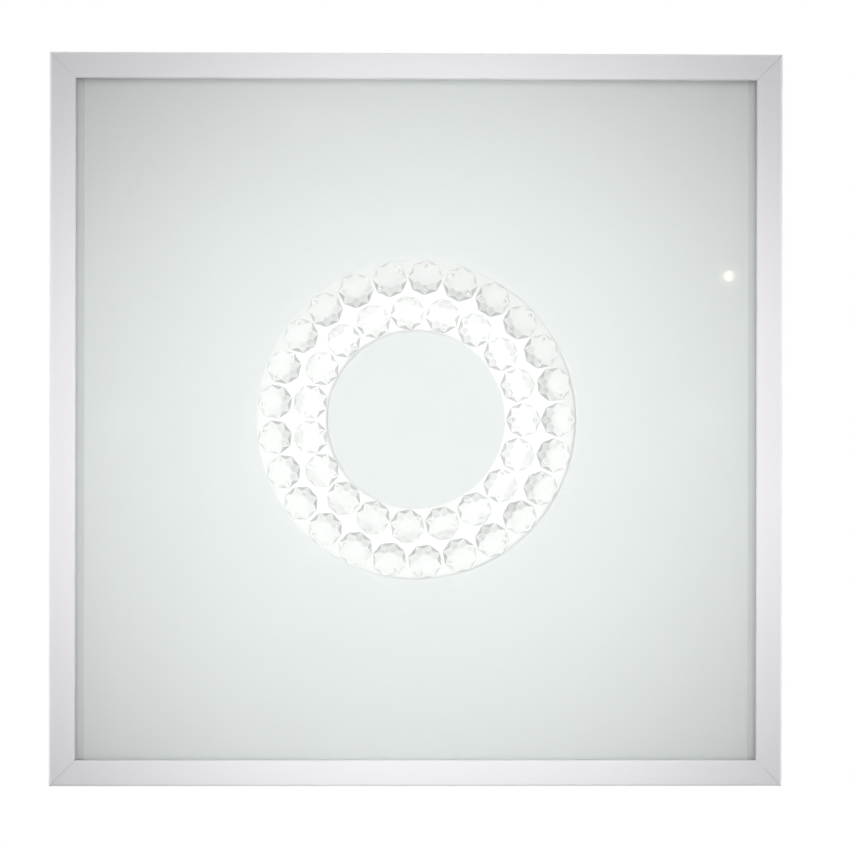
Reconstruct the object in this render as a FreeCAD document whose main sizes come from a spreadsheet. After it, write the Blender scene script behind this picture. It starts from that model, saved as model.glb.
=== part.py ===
import FreeCAD, Part
import math
import os

import Sketcher

# Square flush ceiling light. Millimetres, with the ceiling at z = 0 and the light hanging below it.
# Seen from below with -Y at the top, +X is on the right.

SIZES = {
    # front frame: four mitred rails round the glass
    "frame_side": 290.0,
    "lamp_height": 65.0,
    "face_thickness": 1.5,
    "rail_wall": 1.5,
    "rebate_width": 6.5,
    "rail_margin": 5.0,
    "rail_edge_radius": 1.2,
    "mitre_gap": 0.05,
    "catch_groove_width": 3.0,
    "catch_groove_depth": 0.4,
    # glass and what holds it in the frame
    "glass_thickness": 4.0,
    "glass_gap": 0.5,
    "glass_cover": 3.4,
    "glass_bevel": 0.4,
    "gasket_thickness": 1.0,
    "gasket_setback": 0.4,
    "retainer_thickness": 1.2,
    "retainer_wall_gap": 0.5,
    "retainer_show_left": 3.0,
    "retainer_show_right": 2.7,
    "retainer_end_gap": 3.0,
    "retainer_screw_gap": 4.0,
    "clip_width": 8.0,
    "clip_thickness": 0.6,
    "clip_wall_gap": 0.6,
    "clip_bump": 1.2,
    "clip_reach": 6.0,
    "clip_tail_rise": 4.0,
    "contact_gap": 0.05,
    # corner keys of the frame
    "key_leg": 25.0,
    "key_thickness": 1.4,
    "key_height": 12.0,
    "key_fit": 0.1,
    "key_lift": 0.2,
    "key_screw_diameter": 4.0,
    "key_screw_inset": 8.0,
    # crystals bonded to the back of the glass
    "crystal_diameter": 13.9,
    "crystal_thickness": 6.0,
    "crystal_girdle": 1.0,
    "crystal_table": 4.4,
    "crystal_ridges": 10.0,
    "crystal_hole": 1.1,
    "crystal_hole_spacing": 9.6,
    "crystal_bond": 0.25,
    "crystal_gap": 0.2,
    "crystal_row_gap": 0.1,
    "outer_row_radius": 56.7,
    # base pan
    "pan_sheet": 0.9,
    "pan_clearance": 1.0,
    "rim_clearance": 1.7,
    "pan_corner_radius": 10.0,
    "pan_edge_radius": 3.0,
    "boss_depth": 4.0,
    "boss_radius": 6.0,
    "bead_width": 8.0,
    "bead_depth": 1.2,
    "bead_inset": 14.0,
    "slot_width": 5.5,
    "slot_length": 14.0,
    "slot_wall_gap": 18.1,
    # cable entry
    "cable_hole": 14.0,
    "cable_offset": 48.0,
    "grommet_recess_radius": 12.5,
    "grommet_recess_depth": 2.2,
    "grommet_flange": 20.0,
    "grommet_lip": 1.6,
    "grommet_bore": 9.0,
    "grommet_fit": 0.1,
    # leaf-spring catches that hold the frame on the pan
    "catch_width": 12.0,
    "catch_thickness": 0.5,
    "catch_offset": 70.0,
    "catch_rim_gap": 1.0,
    "catch_foot": 6.0,
    "catch_slope": 5.5,
    "catch_crest": 1.0,
    "catch_clearance": 0.2,
    "catch_end_gap": 0.1,
    "rivet_diameter": 2.4,
    "rivet_head_diameter": 4.2,
    "rivet_head_height": 0.8,
    "rivet_spacing": 6.0,
    # reflector tray
    "tray_sheet": 0.8,
    "tray_terminal_gap": 2.0,
    "tray_flange": 14.0,
    "tray_draft": 10.0,
    "tray_corner_radius": 14.0,
    "tray_window_width": 28.0,
    "tray_window_height": 9.0,
    "tray_lead_hole": 12.0,
    # lighting board
    "board_diameter": 66.0,
    "board_thickness": 1.6,
    "board_hole": 10.0,
    "board_screw_inset": 4.0,
    "led_inset": 10.0,
    "led_length": 3.5,
    "led_width": 2.8,
    "led_height": 0.8,
    "led_window": 2.2,
    "led_window_depth": 0.15,
    # driver
    "driver_length": 66.0,
    "driver_width": 40.0,
    "driver_height": 22.0,
    "driver_corner_radius": 3.0,
    "driver_ear": 10.0,
    "driver_ear_width": 14.0,
    "driver_ear_thickness": 3.0,
    "driver_end_gap": 1.5,
    "lead_space": 3.8,
    "lead_port_depth": 5.0,
    # terminal block
    "terminal_length": 34.0,
    "terminal_width": 20.0,
    "terminal_height": 16.0,
    "terminal_shoulder": 11.0,
    "terminal_step": 2.0,
    "terminal_head_gap": 0.5,
    "terminal_groove_floor": 12.0,
    "terminal_wall_gap": 6.0,
    "pole_pitch": 10.0,
    "tube_diameter": 5.0,
    "tube_bore": 3.0,
    "tube_depth": 6.0,
    "tube_fit": 0.1,
    "clamp_screw_diameter": 3.4,
    "clamp_screw_recess": 0.6,
    # earth point
    "earth_offset": 36.0,
    "lug_diameter": 8.0,
    "lug_thickness": 0.8,
    "lug_neck": 9.0,
    "lug_barrel": 3.0,
    # screws and leads
    "thread_gap": 0.05,
    "screw_point": 0.4,
    "small_screw": 2.5,
    "small_head": 4.6,
    "small_head_height": 1.6,
    "small_screw_depth": 3.0,
    "medium_screw": 3.0,
    "medium_head": 5.5,
    "medium_head_height": 2.0,
    "large_screw": 4.0,
    "large_head": 7.4,
    "large_head_height": 2.6,
    "screw_tip_gap": 0.9,
    "board_screw_grip": 2.0,
    "mains_lead": 1.8,
    "mains_lead_clear": 5.5,
    "mains_lead_side": 4.5,
    "mains_lead_drop": 0.6,
    "led_lead": 1.4,
    "led_lead_drop": 4.0,
    "led_lead_entry": 3.0,
    "led_lead_dip": 1.6,
    "led_lead_run": 6.0,
}

RETAINER_SCREWS = 4
LED_COUNT = 16
BOARD_SCREWS = 3
CRYSTAL_SIDES = 8
# degrees: each crystal's turn from the last one, its lean outward and to one side, and how far that drifts
GOLDEN_ANGLE = 137.5
CRYSTAL_LEAN = 4.5
LEAN_DRIFT = 0.8
SIDE_LEAN = 1.6

doc = FreeCAD.newDocument("ceiling_light")
sheet = doc.addObject("Spreadsheet::Sheet", "Sizes")
for row, (alias, number) in enumerate(SIZES.items(), 1):
    sheet.set(f"A{row}", alias)
    sheet.set(f"B{row}", str(number))
    sheet.setAlias(f"B{row}", alias)
doc.recompute()

Vector = FreeCAD.Vector
NODES = []


class Size:
    """A number from the sheet, or worked out from some, with the expression that gives it."""

    def __init__(self, number, text):
        self.number = number
        self.text = text

    def joined(self, other, sign, number):
        return Size(number, f"({self.text} {sign} {as_size(other).text})")

    def __add__(self, other):
        return self.joined(other, "+", self.number + as_size(other).number)

    def __sub__(self, other):
        return self.joined(other, "-", self.number - as_size(other).number)

    def __mul__(self, other):
        return self.joined(other, "*", self.number * as_size(other).number)

    def __truediv__(self, other):
        return self.joined(other, "/", self.number / as_size(other).number)

    def __neg__(self):
        return self * -1


def as_size(value):
    return value if isinstance(value, Size) else Size(value, f"{value:.9g}")


def size(alias):
    return Size(float(sheet.get(alias)), f"Sizes.{alias}")


# Sizes that follow from the sheet

HALF_FRAME = size("frame_side") / 2
FRONT = -size("lamp_height")
FACE_WIDTH = size("rebate_width") + size("glass_gap") + size("glass_cover")
GLASS_FRONT = FRONT + size("face_thickness") + size("gasket_thickness")
GLASS_BACK = GLASS_FRONT + size("glass_thickness")
GLASS_HALF = HALF_FRAME - size("rebate_width") - size("glass_gap")
LEDGE_MIDDLE = HALF_FRAME - (size("rail_wall") + size("rebate_width")) / 2
RETAINER_TOP = GLASS_BACK + size("retainer_thickness")
INNER_ROW_RADIUS = size("outer_row_radius") - size("crystal_diameter") - size("crystal_row_gap")

SKIRT_INSIDE = HALF_FRAME - size("rail_wall")
KEY_OUTSIDE = SKIRT_INSIDE - size("key_fit")
KEY_INSIDE = KEY_OUTSIDE - size("key_thickness")
KEY_BOTTOM = RETAINER_TOP + size("key_lift")

PAN_HALF = KEY_INSIDE - size("pan_clearance")
PAN_INSIDE = PAN_HALF - size("pan_sheet")
PAN_RIM = RETAINER_TOP + size("small_head_height") + size("rim_clearance")
BOSS_FACE = -(size("pan_sheet") + size("boss_depth"))

CATCH_BOTTOM = PAN_RIM + size("catch_rim_gap")
CATCH_FOOT_TOP = CATCH_BOTTOM + size("catch_foot")
CATCH_CREST = CATCH_FOOT_TOP + size("catch_slope")
RAIL_TOP = CATCH_CREST + size("catch_groove_width") / 2 + size("rail_margin")
RIVET_HEIGHT = CATCH_BOTTOM + size("catch_foot") / 2

TERMINAL_Y = -(PAN_INSIDE - size("terminal_wall_gap") - size("terminal_width") / 2)
TUBE_HEIGHT = BOSS_FACE - size("tube_depth")
TRAY_HALF = (
    PAN_INSIDE - size("terminal_wall_gap") - size("terminal_width") - size("tray_terminal_gap")
)
TRAY_BASE_HALF = TRAY_HALF - size("tray_flange")
TRAY_FACE_HALF = TRAY_BASE_HALF - size("tray_draft")
TRAY_SCREW = TRAY_HALF - size("tray_flange") / 2
TRAY_FACE = BOSS_FACE - size("driver_height") - size("lead_space") - size("tray_sheet")
BOARD_FACE = TRAY_FACE - size("board_thickness")
SLOT_X = PAN_INSIDE - size("slot_wall_gap")

DRIVER_BACK = -(TRAY_FACE_HALF - size("driver_end_gap"))
DRIVER_FRONT = DRIVER_BACK + size("driver_length")
DRIVER_MIDDLE = (DRIVER_BACK + DRIVER_FRONT) / 2
DRIVER_EAR_X = (size("driver_width") + size("driver_ear")) / 2


# Sketch and feature helpers


def new_body(label):
    body = doc.addObject("PartDesign::Body", label)
    body.Label = label
    return body


def node(thing, label):
    """Counts an object as one of the light's sub-parts."""
    thing.Label = label
    NODES.append(thing)
    return thing


def new_sketch(body, role, offset=None):
    """A sketch on one of the body's own origin planes, or standing off from it."""
    sketch = body.newObject("Sketcher::SketchObject", "Sketch")
    plane = [feature for feature in body.Origin.OriginFeatures if feature.Role == role][0]
    sketch.AttachmentSupport = [(plane, "")]
    sketch.MapMode = "FlatFace"
    if offset is not None:
        sketch.setExpression("AttachmentOffset.Base.z", offset.text)
    return sketch


def bind(sketch, kind, value, *where):
    number = sketch.addConstraint(Sketcher.Constraint(kind, *where, value.number))
    sketch.setExpression(f"Constraints[{number}]", value.text)


def pin(sketch, geometry, end, x, y):
    """Holds one point of a sketch at x, y. A plain 0 puts it on the axis."""
    for value, kind, axis in ((x, "DistanceX", -2), (y, "DistanceY", -1)):
        if isinstance(value, Size):
            bind(sketch, kind, value, -1, 1, geometry, end)
        else:
            sketch.addConstraint(Sketcher.Constraint("PointOnObject", geometry, end, axis))


def plain(value):
    return as_size(value).number


def polygon(sketch, points):
    first = len(sketch.Geometry)
    count = len(points)
    corners = [Vector(plain(x), plain(y), 0) for x, y in points]
    for i in range(count):
        sketch.addGeometry(Part.LineSegment(corners[i], corners[(i + 1) % count]), False)
    for i in range(count):
        sketch.addConstraint(
            Sketcher.Constraint("Coincident", first + i, 2, first + (i + 1) % count, 1)
        )
    for i, (x, y) in enumerate(points):
        pin(sketch, first + i, 1, x, y)


def rectangle(sketch, left, bottom, right, top):
    polygon(sketch, [(left, bottom), (right, bottom), (right, top), (left, top)])


def circle(sketch, x, y, radius):
    first = len(sketch.Geometry)
    ring = Part.Circle(Vector(plain(x), plain(y), 0), Vector(0, 0, 1), radius.number)
    sketch.addGeometry(ring, False)
    bind(sketch, "Radius", radius, first)
    pin(sketch, first, 3, x, y)


def rounded_square(sketch, half, radius):
    """Straight sides joined by tangent quarter arcs, round the origin."""
    first = len(sketch.Geometry)
    reach = half.number
    flat = reach - radius.number
    for turn in range(4):
        spin = FreeCAD.Rotation(Vector(0, 0, 1), 90 * turn)
        start = spin.multVec(Vector(-flat, -reach, 0))
        end = spin.multVec(Vector(flat, -reach, 0))
        middle = spin.multVec(Vector(flat, -flat, 0))
        sketch.addGeometry(Part.LineSegment(start, end), False)
        ring = Part.Circle(middle, Vector(0, 0, 1), radius.number)
        angle = math.radians(90 * turn - 90)
        sketch.addGeometry(Part.ArcOfCircle(ring, angle, angle + math.pi / 2), False)
    for turn in range(4):
        line = first + 2 * turn
        following = first + (2 * turn + 2) % 8
        sketch.addConstraint(Sketcher.Constraint("Tangent", line, 2, line + 1, 1))
        sketch.addConstraint(Sketcher.Constraint("Tangent", line + 1, 2, following, 1))
        direction = "Vertical" if turn % 2 else "Horizontal"
        sketch.addConstraint(Sketcher.Constraint(direction, line))
        if turn:
            sketch.addConstraint(Sketcher.Constraint("Equal", first + 1, line + 1))
    bind(sketch, "Radius", radius, first + 1)
    for turn, kind, side in ((0, "DistanceY", -half), (1, "DistanceX", half)):
        bind(sketch, kind, side, -1, 1, first + 2 * turn, 1)
    for turn, kind, side in ((2, "DistanceY", half), (3, "DistanceX", -half)):
        bind(sketch, kind, side, -1, 1, first + 2 * turn, 1)


def slot(sketch, x, y, length, width):
    """A round-ended slot along the sketch's first axis."""
    first = len(sketch.Geometry)
    radius = width / 2
    left = as_size(x) - length / 2 + radius
    right = as_size(x) + length / 2 - radius
    low = plain(y) - radius.number
    high = plain(y) + radius.number
    normal = Vector(0, 0, 1)
    left_ring = Part.Circle(Vector(left.number, plain(y), 0), normal, radius.number)
    right_ring = Part.Circle(Vector(right.number, plain(y), 0), normal, radius.number)
    quarter = math.pi / 2
    low_line = Part.LineSegment(Vector(left.number, low, 0), Vector(right.number, low, 0))
    high_line = Part.LineSegment(Vector(right.number, high, 0), Vector(left.number, high, 0))
    sketch.addGeometry(low_line, False)
    sketch.addGeometry(Part.ArcOfCircle(right_ring, -quarter, quarter), False)
    sketch.addGeometry(high_line, False)
    sketch.addGeometry(Part.ArcOfCircle(left_ring, quarter, 3 * quarter), False)
    for i in range(4):
        following = first + (i + 1) % 4
        sketch.addConstraint(Sketcher.Constraint("Tangent", first + i, 2, following, 1))
    sketch.addConstraint(Sketcher.Constraint("Horizontal", first))
    sketch.addConstraint(Sketcher.Constraint("Equal", first + 1, first + 3))
    bind(sketch, "Radius", radius, first + 1)
    pin(sketch, first + 1, 3, right, y)
    bind(sketch, "DistanceX", left, -1, 1, first + 3, 3)


def pad(body, sketch, length, down=False, symmetric=False):
    feature = body.newObject("PartDesign::Pad", "Pad")
    feature.Profile = sketch
    feature.setExpression("Length", length.text)
    feature.Reversed = down
    if symmetric:
        feature.SideType = "Symmetric"
    doc.recompute()
    return feature


def pocket(body, sketch, depth=None, flip=False, symmetric=False):
    """Cuts against the sketch's normal, or along it with flip, to a depth or right through."""
    before = body.Shape.Volume
    feature = body.newObject("PartDesign::Pocket", "Pocket")
    feature.Profile = sketch
    if depth is None:
        feature.Type = "ThroughAll"
    else:
        feature.setExpression("Length", depth.text)
    feature.Reversed = flip
    if symmetric:
        feature.SideType = "Symmetric"
    doc.recompute()
    if body.Shape.Volume >= before:
        raise RuntimeError(f"{body.Label}: a pocket cuts nothing")
    return feature


def revolve(body, points):
    """A body turned about its own Z axis from points given as radius and height."""
    sketch = new_sketch(body, "XZ_Plane")
    polygon(sketch, points)
    feature = body.newObject("PartDesign::Revolution", "Revolution")
    feature.Profile = sketch
    feature.ReferenceAxis = (sketch, ["V_Axis"])
    feature.Angle = 360
    doc.recompute()
    return feature


def fillet(body, radius, chosen, kind="PartDesign::Fillet"):
    """Rounds, or bevels, the edges of the body's last feature that chosen picks."""
    base = body.Tip
    names = [f"Edge{i}" for i, edge in enumerate(base.Shape.Edges, 1) if chosen(edge)]
    feature = body.newObject(kind, "Fillet")
    feature.Base = (base, names)
    feature.setExpression("Radius" if kind.endswith("Fillet") else "Size", radius.text)
    doc.recompute()
    return feature


def near(a, b):
    return abs(a - b) < 1e-4


def upright(edge):
    box = edge.BoundBox
    return box.XLength < 1e-4 and box.YLength < 1e-4


def at_height(level):
    def chosen(edge):
        return near(edge.BoundBox.ZMin, level.number) and near(edge.BoundBox.ZMax, level.number)

    return chosen


def place(thing, x=0, y=0, z=0, rotation=None):
    thing.Placement = FreeCAD.Placement(
        Vector(plain(x), plain(y), plain(z)), rotation or FreeCAD.Rotation()
    )
    for axis, value in (("x", x), ("y", y), ("z", z)):
        if isinstance(value, Size):
            thing.setExpression(f"Placement.Base.{axis}", value.text)
    return thing


def turned(angle):
    return FreeCAD.Rotation(Vector(0, 0, 1), angle)


def group(label, pattern, places):
    """One sub-part made of separate copies of a pattern piece, each at x, y, z and a rotation."""
    copies = []
    for x, y, z, rotation in places:
        link = doc.addObject("App::Link", label + "_copy")
        link.LinkedObject = pattern
        copies.append(place(link, x, y, z, rotation))
    whole = doc.addObject("Part::Compound", label)
    whole.Links = copies
    return node(whole, label)


FLIPPED = FreeCAD.Rotation(Vector(1, 0, 0), 180)


# Fasteners: the head is below its seat at z = 0, and the shank points up


def screw(label, kind, length):
    head = size(f"{kind}_head") / 2
    height = size(f"{kind}_head_height")
    shank = size(f"{kind}_screw") / 2
    point = size("screw_point")
    body = new_body(label)
    revolve(
        body,
        [
            (0, -height),
            (head * 0.6, -height),
            (head, -height * 0.45),
            (head, 0),
            (shank, 0),
            (shank, length - point),
            (shank - point, length),
            (0, length),
        ],
    )
    wing = head * 0.55
    web = head * 0.14
    recess = new_sketch(body, "XY_Plane", -height)
    polygon(
        recess,
        [
            (wing, -web),
            (wing, web),
            (web, web),
            (web, wing),
            (-web, wing),
            (-web, web),
            (-wing, web),
            (-wing, -web),
            (-web, -web),
            (-web, -wing),
            (web, -wing),
            (web, -web),
        ],
    )
    pocket(body, recess, height * 0.5, flip=True)
    return body


def tapped(kind):
    """The radius of the hole that a screw turns into."""
    return size(f"{kind}_screw") / 2 + size("thread_gap")


def clearance(kind):
    """The radius of the hole that a screw passes through."""
    return size(f"{kind}_screw") / 2 + size("thread_gap") * 4


# Front frame


def rail(label, angle, screw_places):
    """One mitred rail, drawn along the -Y side and then turned to its own side."""
    body = new_body(label)
    section = new_sketch(body, "YZ_Plane")
    outside = -HALF_FRAME
    wall = -SKIRT_INSIDE
    ledge = size("rebate_width") - HALF_FRAME
    lip = FACE_WIDTH - HALF_FRAME
    lip_top = FRONT + size("face_thickness")
    groove_floor = wall - size("catch_groove_depth")
    groove_low = CATCH_CREST - size("catch_groove_width") / 2
    groove_high = CATCH_CREST + size("catch_groove_width") / 2
    polygon(
        section,
        [
            (outside, FRONT),
            (lip, FRONT),
            (lip, lip_top),
            (ledge, lip_top),
            (ledge, GLASS_BACK),
            (wall, GLASS_BACK),
            (wall, groove_low),
            (groove_floor, groove_low),
            (groove_floor, groove_high),
            (wall, groove_high),
            (wall, RAIL_TOP),
            (outside, RAIL_TOP),
        ],
    )
    pad(body, section, size("frame_side"), symmetric=True)

    def front_edge(edge):
        box = edge.BoundBox
        return box.XLength > 1 and near(box.ZMax, FRONT.number)

    fillet(body, size("rail_edge_radius"), front_edge)

    mitre = new_sketch(body, "XY_Plane")
    spare = FACE_WIDTH
    gap = size("mitre_gap")
    out_y = -(HALF_FRAME + spare)
    in_y = FACE_WIDTH + spare - HALF_FRAME
    for side in (1, -1):
        near_out = (HALF_FRAME + spare - gap) * side
        near_in = (HALF_FRAME - FACE_WIDTH - spare - gap) * side
        far = (HALF_FRAME + spare * 2) * side
        polygon(mitre, [(near_out, out_y), (far, out_y), (far, in_y), (near_in, in_y)])
    pocket(body, mitre)

    holes = new_sketch(body, "XY_Plane", GLASS_BACK)
    for x in screw_places:
        circle(holes, x, -LEDGE_MIDDLE, tapped("small"))
    pocket(body, holes, size("small_screw_depth"))
    body.Placement = FreeCAD.Placement(Vector(), turned(angle))
    return node(body, label)


def corner_key(label, angle):
    """An upright angle piece in a corner of the frame, drawn at +X -Y and then turned."""
    body = new_body(label)
    end = KEY_OUTSIDE - size("key_leg")
    outline = new_sketch(body, "XY_Plane", KEY_BOTTOM)
    polygon(
        outline,
        [
            (KEY_OUTSIDE, -KEY_OUTSIDE),
            (KEY_OUTSIDE, -end),
            (KEY_INSIDE, -end),
            (KEY_INSIDE, -KEY_INSIDE),
            (end, -KEY_INSIDE),
            (end, -KEY_OUTSIDE),
        ],
    )
    pad(body, outline, size("key_height"))
    along = end + size("key_screw_inset")
    middle = KEY_BOTTOM + size("key_height") / 2
    radius = size("key_screw_diameter") / 2 + size("thread_gap")
    for role, place_along in (("XZ_Plane", along), ("YZ_Plane", -along)):
        hole = new_sketch(body, role)
        circle(hole, place_along, middle, radius)
        pocket(body, hole, flip=True)
    body.Placement = FreeCAD.Placement(Vector(), turned(angle))
    return node(body, label)


def grub_screw():
    """A headless screw along +Z from its point to its hexagon socket."""
    body = new_body("grub_screw")
    radius = size("key_screw_diameter") / 2
    length = size("key_fit") + size("key_thickness")
    disc = new_sketch(body, "XY_Plane")
    circle(disc, 0, 0, radius)
    pad(body, disc, length)
    socket = new_sketch(body, "XY_Plane", length)
    corner = radius * 0.55
    flat = corner * math.cos(math.pi / 6)
    polygon(
        socket,
        [
            (corner, 0),
            (corner / 2, flat),
            (-corner / 2, flat),
            (-corner, 0),
            (-corner / 2, -flat),
            (corner / 2, -flat),
        ],
    )
    pocket(body, socket, length * 0.6)
    return body


def corner_screws():
    along = KEY_OUTSIDE - size("key_leg") + size("key_screw_inset")
    height = KEY_BOTTOM + size("key_height") / 2
    inward_x = FreeCAD.Rotation(Vector(0, 0, 1), Vector(-1, 0, 0))
    inward_y = FreeCAD.Rotation(Vector(0, 0, 1), Vector(0, -1, 0))
    places = []
    for side in (1, -1):
        for end in (1, -1):
            spin = inward_x if side > 0 else inward_x.inverted()
            places.append((SKIRT_INSIDE * side, along * end, height, spin))
            spin = inward_y if side > 0 else inward_y.inverted()
            places.append((along * end, SKIRT_INSIDE * side, height, spin))
    group("corner_screws", grub_screw(), places)


def glass_panel():
    body = new_body("glass_panel")
    outline = new_sketch(body, "XY_Plane", GLASS_FRONT)
    rectangle(outline, -GLASS_HALF, -GLASS_HALF, GLASS_HALF, GLASS_HALF)
    pad(body, outline, size("glass_thickness"))
    front = at_height(GLASS_FRONT)
    back = at_height(GLASS_BACK)
    fillet(
        body, size("glass_bevel"), lambda edge: front(edge) or back(edge), "PartDesign::Chamfer"
    )
    return node(body, "glass_panel")


def glass_gasket():
    """Four soft strips under the edge of the glass, butted at the corners."""
    outer = GLASS_HALF - size("gasket_setback")
    inner = HALF_FRAME - FACE_WIDTH + size("gasket_setback")
    strips = []
    for index in range(4):
        strip = doc.addObject("Part::Box", "gasket_strip")
        along = index % 2 == 0
        length = outer * 2 if along else inner * 2
        strip.setExpression("Length", length.text)
        strip.setExpression("Width", (outer - inner).text)
        strip.setExpression("Height", size("gasket_thickness").text)
        spin = turned(90 * index)
        corner = (-length / 2, -outer)
        for _ in range(index):
            corner = (-corner[1], corner[0])
        place(strip, corner[0], corner[1], FRONT + size("face_thickness"), spin)
        strips.append(strip)
    whole = doc.addObject("Part::Compound", "glass_gasket")
    whole.Links = strips
    return node(whole, "glass_gasket")


def retainer_screw_places():
    """Evenly spaced, the end ones just clear of the corner keys."""
    end = KEY_OUTSIDE - size("key_leg") - size("small_head") / 2 - size("retainer_screw_gap")
    middle = (RETAINER_SCREWS - 1) / 2
    return [end * ((i - middle) / middle) for i in range(RETAINER_SCREWS)]


def glass_retainer(label, angle, show):
    """A flat strip on the back of the glass, drawn along the -Y side and then turned."""
    body = new_body(label)
    outline = new_sketch(body, "XY_Plane", GLASS_BACK)
    outer = size("retainer_wall_gap") - SKIRT_INSIDE
    inner = FACE_WIDTH + show - HALF_FRAME
    half = GLASS_HALF - size("retainer_end_gap")
    rectangle(outline, -half, outer, half, inner)
    pad(body, outline, size("retainer_thickness"))
    holes = new_sketch(body, "XY_Plane", RETAINER_TOP)
    for x in retainer_screw_places():
        circle(holes, x, -LEDGE_MIDDLE, clearance("small"))
    pocket(body, holes)
    body.Placement = FreeCAD.Placement(Vector(), turned(angle))
    return node(body, label)


def glass_clip(label, angle):
    """A spring leaf that presses on the glass, drawn at the -Y side and then turned."""
    body = new_body(label)
    thick = size("clip_thickness")
    foot = size("clip_wall_gap") - SKIRT_INSIDE
    ledge = size("rebate_width") - HALF_FRAME
    touch = FACE_WIDTH - HALF_FRAME
    crown = (ledge + touch) / 2
    tail = touch + size("clip_reach")
    low = [
        (foot, GLASS_BACK),
        (ledge, GLASS_BACK),
        (crown, GLASS_BACK + size("clip_bump")),
        (touch, GLASS_BACK + size("contact_gap")),
        (tail, GLASS_BACK + size("clip_tail_rise")),
    ]
    high = [(y, z + thick) for y, z in reversed(low)]
    profile = new_sketch(body, "YZ_Plane")
    polygon(profile, low + high)
    pad(body, profile, size("clip_width"), symmetric=True)
    hole = new_sketch(body, "XY_Plane")
    circle(hole, 0, -LEDGE_MIDDLE, clearance("small"))
    pocket(body, hole)
    body.Placement = FreeCAD.Placement(Vector(), turned(angle))
    return node(body, label)


def glass_screws():
    """The screws of the retainers on the left and right, and of the clips at front and back."""
    retainer_length = size("small_screw_depth") + size("retainer_thickness")
    pattern = screw("retainer_screw", "small", retainer_length)
    places = []
    for side in (1, -1):
        for y in retainer_screw_places():
            places.append((LEDGE_MIDDLE * side, y, RETAINER_TOP, FLIPPED))
    group("retainer_screws", pattern, places)
    pattern = screw("clip_screw", "small", size("small_screw_depth") + size("clip_thickness"))
    top = GLASS_BACK + size("clip_thickness")
    places = [(0, LEDGE_MIDDLE * side, top, FLIPPED) for side in (-1, 1)]
    group("clip_screws", pattern, places)


def crystal():
    """An octagon bead with two holes: on each side a flat table, long facets from it to the corners
    of a thin girdle, and small triangles along the girdle."""
    radius = size("crystal_diameter").number / 2
    table = size("crystal_table").number / 2
    ridges = size("crystal_ridges").number / 2
    half = size("crystal_thickness").number / 2
    girdle = size("crystal_girdle").number / 2
    step = 2 * math.pi / CRYSTAL_SIDES
    # the long facets fall evenly from the table's sides to the girdle's corners
    inset = table * math.cos(step / 2)
    slope = (half - girdle) / (radius - inset)
    ridge_end = half - (ridges * math.cos(step / 2) - inset) * slope

    def ring(reach, height, shift):
        angles = [(i + shift) * step for i in range(CRYSTAL_SIDES)]
        return [Vector(reach * math.cos(a), reach * math.sin(a), height) for a in angles]

    def face(*corners):
        return Part.Face(Part.makePolygon([*corners, corners[0]]))

    faces = []
    for side in (1, -1):
        edge = ring(radius, girdle * side, 0)
        top = ring(table, half * side, 0.5)
        ends = ring(ridges, ridge_end * side, 0.5)
        faces.append(face(*top))
        for i in range(CRYSTAL_SIDES):
            j = (i + 1) % CRYSTAL_SIDES
            faces.append(face(top[i], top[j], ends[j], edge[j], ends[i]))
            faces.append(face(edge[i], edge[j], ends[i]))
    upper = ring(radius, girdle, 0)
    lower = ring(radius, -girdle, 0)
    for i in range(CRYSTAL_SIDES):
        j = (i + 1) % CRYSTAL_SIDES
        faces.append(face(upper[i], upper[j], lower[j], lower[i]))
    solid = Part.makeSolid(Part.makeShell(faces))
    if solid.Volume < 0:
        solid.reverse()
    for side in (1, -1):
        middle = Vector(size("crystal_hole_spacing").number / 2 * side, 0, 0)
        rim = [middle + corner for corner in ring(size("crystal_hole").number / 2, -2 * half, 0)]
        solid = solid.cut(face(*rim).extrude(Vector(0, 0, 4 * half)))
    pattern = doc.addObject("Part::Feature", "crystal")
    pattern.Shape = solid
    return pattern


def crystal_turn(index, around):
    """A crystal's turn about its own axis, then a small lean away from the middle and to one side."""
    outward = math.radians(around)
    along = Vector(-math.sin(outward), math.cos(outward), 0)
    across = Vector(math.cos(outward), math.sin(outward), 0)
    turn = GOLDEN_ANGLE * index
    lean = CRYSTAL_LEAN + LEAN_DRIFT * math.sin(math.radians(2 * turn))
    side = SIDE_LEAN * math.sin(math.radians(turn))
    return FreeCAD.Rotation(along, -lean) * FreeCAD.Rotation(across, side) * turned(turn)


def crystal_rows():
    """Two rings of crystals, as many as fit round each, every one set its own way."""
    pattern = crystal()
    height = GLASS_BACK + size("crystal_bond") + size("crystal_thickness") / 2
    pitch = size("crystal_diameter").number + size("crystal_gap").number
    for label, radius in (
        ("outer_crystals", size("outer_row_radius")),
        ("inner_crystals", INNER_ROW_RADIUS),
    ):
        count = int(2 * math.pi * radius.number / pitch)
        places = []
        for i in range(count):
            around = 360 * i / count
            x = radius * math.cos(math.radians(around))
            y = radius * math.sin(math.radians(around))
            places.append((x, y, height, crystal_turn(i, around)))
        group(label, pattern, places)


# Base pan and cable entry


def boss_outlines(sketch, extra):
    """The raised seats pressed into the pan, as the die side or the sheet's other side."""
    radius = size("boss_radius") + extra
    for x in (TRAY_SCREW, -TRAY_SCREW):
        for y in (TRAY_SCREW, -TRAY_SCREW):
            circle(sketch, x, y, radius)
    for x in (DRIVER_EAR_X, -DRIVER_EAR_X):
        circle(sketch, x, DRIVER_MIDDLE, radius)
    circle(sketch, size("earth_offset"), TERMINAL_Y, radius)
    slot(sketch, as_size(0), TERMINAL_Y, size("pole_pitch") + radius * 2, radius * 2)


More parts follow.
